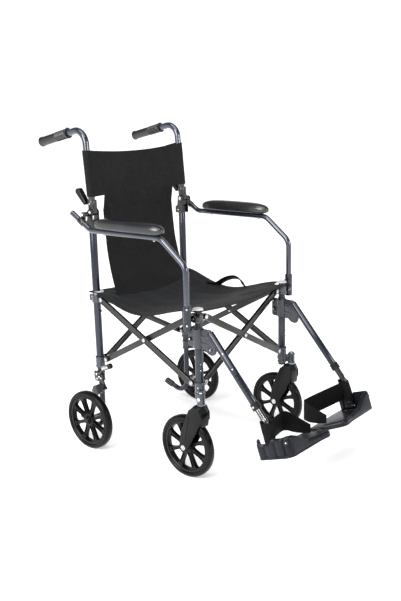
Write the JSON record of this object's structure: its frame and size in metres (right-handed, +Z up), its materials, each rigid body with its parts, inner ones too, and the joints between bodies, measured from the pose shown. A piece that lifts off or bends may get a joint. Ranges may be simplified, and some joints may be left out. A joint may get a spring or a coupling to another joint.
{
  "type": "transport wheelchair",
  "caption": "Folding transport wheelchair with slung seat and back, fold-back push canes, flip-back armrests, swing-away footrests, small rear wheels and front casters.",
  "frame": {"origin": "middle of the footprint on the floor, under the seat", "axes": "+Z up, the occupant faces -Y, +X is the occupant's left"},
  "size_m": [0.61, 1.0367, 1.0763],
  "materials": {
    "blue_grey_paint": "metallic blue-grey paint, satin gloss",
    "hammered_paint": "hammered grey-blue paint",
    "bar_paint": "dark warm grey paint, satin",
    "black_paint": "black paint, satin",
    "zinc_plate": "bright zinc plate",
    "charcoal_plastic": "charcoal moulded nylon, fine grain",
    "black_plastic": "black moulded plastic, satin",
    "arm_pad": "skinned foam, smooth and slightly glossy",
    "black_rubber": "soft black rubber, matte",
    "grey_tyre": "dark grey polyurethane, matte",
    "black_nylon": "woven black nylon",
    "black_webbing": "black webbing, ribbed"
  },
  "bodies": {
    "rear_right_frame": {"rear_post_right": "blue_grey_paint", "rear_lower_knuckle_right": "hammered_paint", "tipping_lever_right": "blue_grey_paint", "tipping_lever_tip_right": "black_rubber", "rear_axle_right": "zinc_plate", "back_hinge_right": "black_paint", "seat_sling": "black_nylon", "back_sling": "black_nylon"},
    "rear_left_frame": {"rear_post_left": "blue_grey_paint", "rear_lower_knuckle_left": "hammered_paint", "tipping_lever_left": "blue_grey_paint", "tipping_lever_tip_left": "black_rubber", "rear_axle_left": "zinc_plate", "back_hinge_left": "black_paint"},
    "front_right_frame": {"front_post_right": "blue_grey_paint", "front_lower_knuckle_right": "hammered_paint"},
    "rear_right_slider": {"rear_upper_knuckle_right": "hammered_paint"},
    "front_right_slider": {"front_upper_knuckle_right": "hammered_paint"},
    "front_left_frame": {"front_post_left": "blue_grey_paint", "front_lower_knuckle_left": "hammered_paint"},
    "rear_left_slider": {"rear_upper_knuckle_left": "hammered_paint"},
    "front_left_slider": {"front_upper_knuckle_left": "hammered_paint"},
    "rear_inner_bar": {"cross_bar_rear_inner": "bar_paint"},
    "rear_outer_bar": {"cross_bar_rear_outer": "bar_paint"},
    "right_inner_bar": {"cross_bar_right_inner": "bar_paint"},
    "right_outer_bar": {"cross_bar_right_outer": "bar_paint"},
    "front_inner_bar": {"cross_bar_front_inner": "bar_paint"},
    "front_outer_bar": {"cross_bar_front_outer": "bar_paint"},
    "left_inner_bar": {"cross_bar_left_inner": "bar_paint"},
    "left_outer_bar": {"cross_bar_left_outer": "bar_paint"},
    "right_cane": {"push_cane_right": "blue_grey_paint", "hand_grip_right": "black_rubber"},
    "right_release": {"back_release_lever_right": "black_plastic"},
    "right_armrest": {"armrest_tube_right": "blue_grey_paint", "armrest_pad_right": "arm_pad"},
    "right_wheel_lock": {"wheel_lock_right": "zinc_plate"},
    "right_rear_wheel": {"rear_wheel_right_tyre": "grey_tyre", "rear_wheel_right_rim": "charcoal_plastic"},
    "right_fork": {"caster_fork_right": "charcoal_plastic"},
    "right_caster_wheel": {"caster_wheel_right_tyre": "grey_tyre", "caster_wheel_right_rim": "charcoal_plastic"},
    "right_hanger": {"footrest_hanger_right": "blue_grey_paint"},
    "right_extension": {"footrest_extension_right": "black_paint", "heel_loop_right": "black_webbing"},
    "right_footplate": {"footplate_right": "charcoal_plastic"},
    "left_cane": {"push_cane_left": "blue_grey_paint", "hand_grip_left": "black_rubber"},
    "left_release": {"back_release_lever_left": "black_plastic"},
    "left_armrest": {"armrest_tube_left": "blue_grey_paint", "armrest_pad_left": "arm_pad"},
    "left_wheel_lock": {"wheel_lock_left": "zinc_plate"},
    "left_rear_wheel": {"rear_wheel_left_tyre": "grey_tyre", "rear_wheel_left_rim": "charcoal_plastic"},
    "left_fork": {"caster_fork_left": "charcoal_plastic"},
    "left_caster_wheel": {"caster_wheel_left_tyre": "grey_tyre", "caster_wheel_left_rim": "charcoal_plastic"},
    "left_hanger": {"footrest_hanger_left": "blue_grey_paint"},
    "left_extension": {"footrest_extension_left": "black_paint", "heel_loop_left": "black_webbing"},
    "left_footplate": {"footplate_left": "charcoal_plastic"}
  },
  "joints": [
    {"name": "frame_fold", "type": "hinge", "parent": "rear_right_frame", "child": "rear_inner_bar", "pos_m": [-0.194, 0.2879, 0.305], "axis": [0, -1, 0], "range_deg": [0, 36], "deforming": ["seat_sling", "back_sling"]},
    {"name": "rear_crossing", "type": "hinge", "parent": "rear_inner_bar", "child": "rear_outer_bar", "pos_m": [0, 0.2879, 0.41], "axis": [0, -1, 0], "range_deg": [-72, 0]},
    {"name": "rear_left_foot", "type": "hinge", "parent": "rear_outer_bar", "child": "rear_left_frame", "pos_m": [0.194, 0.2879, 0.305], "axis": [0, -1, 0], "range_deg": [0, 36]},
    {"name": "rear_right_slide_pivot", "type": "hinge", "parent": "rear_outer_bar", "child": "rear_right_slider", "pos_m": [-0.194, 0.2879, 0.515], "axis": [0, -1, 0], "range_deg": [0, 36]},
    {"name": "rear_left_slide_pivot", "type": "hinge", "parent": "rear_inner_bar", "child": "rear_left_slider", "pos_m": [0.194, 0.2879, 0.515], "axis": [0, -1, 0], "range_deg": [-36, 0]},
    {"name": "right_rear_foot", "type": "hinge", "parent": "rear_right_frame", "child": "right_inner_bar", "pos_m": [-0.222, 0.2599, 0.305], "axis": [-1, 0, 0], "range_deg": [0, 36]},
    {"name": "right_crossing", "type": "hinge", "parent": "right_inner_bar", "child": "right_outer_bar", "pos_m": [-0.222, 0.0659, 0.41], "axis": [-1, 0, 0], "range_deg": [-72, 0]},
    {"name": "right_front_foot", "type": "hinge", "parent": "right_outer_bar", "child": "front_right_frame", "pos_m": [-0.222, -0.1281, 0.305], "axis": [-1, 0, 0], "range_deg": [0, 36]},
    {"name": "front_right_side_pivot", "type": "hinge", "parent": "right_inner_bar", "child": "front_right_slider", "pos_m": [-0.222, -0.1281, 0.515], "axis": [-1, 0, 0], "range_deg": [-36, 0]},
    {"name": "front_right_foot", "type": "hinge", "parent": "front_right_frame", "child": "front_inner_bar", "pos_m": [-0.194, -0.1561, 0.305], "axis": [0, -1, 0], "range_deg": [0, 36]},
    {"name": "front_crossing", "type": "hinge", "parent": "front_inner_bar", "child": "front_outer_bar", "pos_m": [0, -0.1561, 0.41], "axis": [0, -1, 0], "range_deg": [-72, 0]},
    {"name": "front_left_foot", "type": "hinge", "parent": "front_outer_bar", "child": "front_left_frame", "pos_m": [0.194, -0.1561, 0.305], "axis": [0, -1, 0], "range_deg": [0, 36]},
    {"name": "front_left_slide_pivot", "type": "hinge", "parent": "front_inner_bar", "child": "front_left_slider", "pos_m": [0.194, -0.1561, 0.515], "axis": [0, -1, 0], "range_deg": [-36, 0]},
    {"name": "left_rear_foot", "type": "hinge", "parent": "rear_left_frame", "child": "left_inner_bar", "pos_m": [0.222, 0.2599, 0.305], "axis": [-1, 0, 0], "range_deg": [0, 36]},
    {"name": "left_crossing", "type": "hinge", "parent": "left_inner_bar", "child": "left_outer_bar", "pos_m": [0.222, 0.0659, 0.41], "axis": [-1, 0, 0], "range_deg": [-72, 0]},
    {"name": "right_rear_wheel_spin", "type": "hinge", "parent": "rear_right_frame", "child": "right_rear_wheel", "pos_m": [-0.285, 0.2879, 0.1015], "axis": [1, 0, 0], "continuous": true},
    {"name": "right_wheel_lock_press", "type": "hinge", "parent": "rear_right_frame", "child": "right_wheel_lock", "pos_m": [-0.24, 0.2699, 0.248], "axis": [1, 0, 0], "range_deg": [0, 20]},
    {"name": "right_caster_swivel", "type": "hinge", "parent": "front_right_frame", "child": "right_fork", "pos_m": [-0.246, -0.1801, 0.27], "axis": [0, 0, 1], "continuous": true},
    {"name": "right_caster_spin", "type": "hinge", "parent": "right_fork", "child": "right_caster_wheel", "pos_m": [-0.246, -0.1201, 0.1015], "axis": [1, 0, 0], "continuous": true},
    {"name": "right_release_press", "type": "hinge", "parent": "right_cane", "child": "right_release", "pos_m": [-0.226, 0.3089, 0.836], "axis": [1, 0, 0], "range_deg": [0, 12]},
    {"name": "right_armrest_flip", "type": "hinge", "parent": "rear_right_frame", "child": "right_armrest", "pos_m": [-0.26, 0.2879, 0.801], "axis": [-1, 0, 0], "range_deg": [0, 100]},
    {"name": "right_footrest_swing", "type": "hinge", "parent": "front_right_frame", "child": "right_hanger", "pos_m": [-0.222, -0.1561, 0.462], "axis": [0, 0, -1], "range_deg": [0, 90]},
    {"name": "right_footrest_length", "type": "slide", "parent": "right_hanger", "child": "right_extension", "axis": [0, -0.6536, -0.7569], "range_m": [0, 0.05]},
    {"name": "right_footplate_flip", "type": "hinge", "parent": "right_extension", "child": "right_footplate", "pos_m": [-0.214, -0.4341, 0.16], "axis": [0, -0.9455, 0.3256], "range_deg": [0, 90], "deforming": ["heel_loop_right"]},
    {"name": "left_rear_wheel_spin", "type": "hinge", "parent": "rear_left_frame", "child": "left_rear_wheel", "pos_m": [0.285, 0.2879, 0.1015], "axis": [1, 0, 0], "continuous": true},
    {"name": "left_wheel_lock_press", "type": "hinge", "parent": "rear_left_frame", "child": "left_wheel_lock", "pos_m": [0.24, 0.2699, 0.248], "axis": [1, 0, 0], "range_deg": [0, 20]},
    {"name": "left_caster_swivel", "type": "hinge", "parent": "front_left_frame", "child": "left_fork", "pos_m": [0.246, -0.1801, 0.27], "axis": [0, 0, 1], "continuous": true},
    {"name": "left_caster_spin", "type": "hinge", "parent": "left_fork", "child": "left_caster_wheel", "pos_m": [0.246, -0.1201, 0.1015], "axis": [1, 0, 0], "continuous": true},
    {"name": "left_release_press", "type": "hinge", "parent": "left_cane", "child": "left_release", "pos_m": [0.226, 0.3089, 0.836], "axis": [1, 0, 0], "range_deg": [0, 12]},
    {"name": "left_armrest_flip", "type": "hinge", "parent": "rear_left_frame", "child": "left_armrest", "pos_m": [0.26, 0.2879, 0.801], "axis": [-1, 0, 0], "range_deg": [0, 100]},
    {"name": "left_footrest_swing", "type": "hinge", "parent": "front_left_frame", "child": "left_hanger", "pos_m": [0.222, -0.1561, 0.462], "axis": [0, 0, 1], "range_deg": [0, 90]},
    {"name": "left_footrest_length", "type": "slide", "parent": "left_hanger", "child": "left_extension", "axis": [0, -0.6536, -0.7569], "range_m": [0, 0.05]},
    {"name": "left_footplate_flip", "type": "hinge", "parent": "left_extension", "child": "left_footplate", "pos_m": [0.214, -0.4341, 0.16], "axis": [0, 0.9455, -0.3256], "range_deg": [0, 90], "deforming": ["heel_loop_left"]},
    {"name": "backrest_fold", "type": "hinge", "parent": "rear_right_frame", "child": "right_cane", "pos_m": [-0.222, 0.2819, 0.805], "axis": [-1, 0, 0], "range_deg": [0, 94]},
    {"name": "left_backrest_fold", "type": "hinge", "parent": "rear_left_frame", "child": "left_cane", "pos_m": [0.222, 0.2819, 0.805], "axis": [-1, 0, 0], "range_deg": [0, 94]}
  ],
  "couplings": [
    {"joint": "rear_crossing", "follows": "frame_fold", "ratio": -2},
    {"joint": "rear_left_foot", "follows": "frame_fold", "ratio": 1},
    {"joint": "rear_right_slide_pivot", "follows": "frame_fold", "ratio": 1},
    {"joint": "rear_left_slide_pivot", "follows": "frame_fold", "ratio": -1},
    {"joint": "right_rear_foot", "follows": "frame_fold", "ratio": 1},
    {"joint": "right_crossing", "follows": "frame_fold", "ratio": -2},
    {"joint": "right_front_foot", "follows": "frame_fold", "ratio": 1},
    {"joint": "front_right_side_pivot", "follows": "frame_fold", "ratio": -1},
    {"joint": "front_right_foot", "follows": "frame_fold", "ratio": 1},
    {"joint": "front_crossing", "follows": "frame_fold", "ratio": -2},
    {"joint": "front_left_foot", "follows": "frame_fold", "ratio": 1},
    {"joint": "front_left_slide_pivot", "follows": "frame_fold", "ratio": -1},
    {"joint": "left_rear_foot", "follows": "frame_fold", "ratio": 1},
    {"joint": "left_crossing", "follows": "frame_fold", "ratio": -2},
    {"joint": "right_footplate_flip", "follows": "frame_fold", "ratio": 2.5},
    {"joint": "left_footplate_flip", "follows": "frame_fold", "ratio": 2.5},
    {"joint": "left_backrest_fold", "follows": "backrest_fold", "ratio": 1}
  ]
}
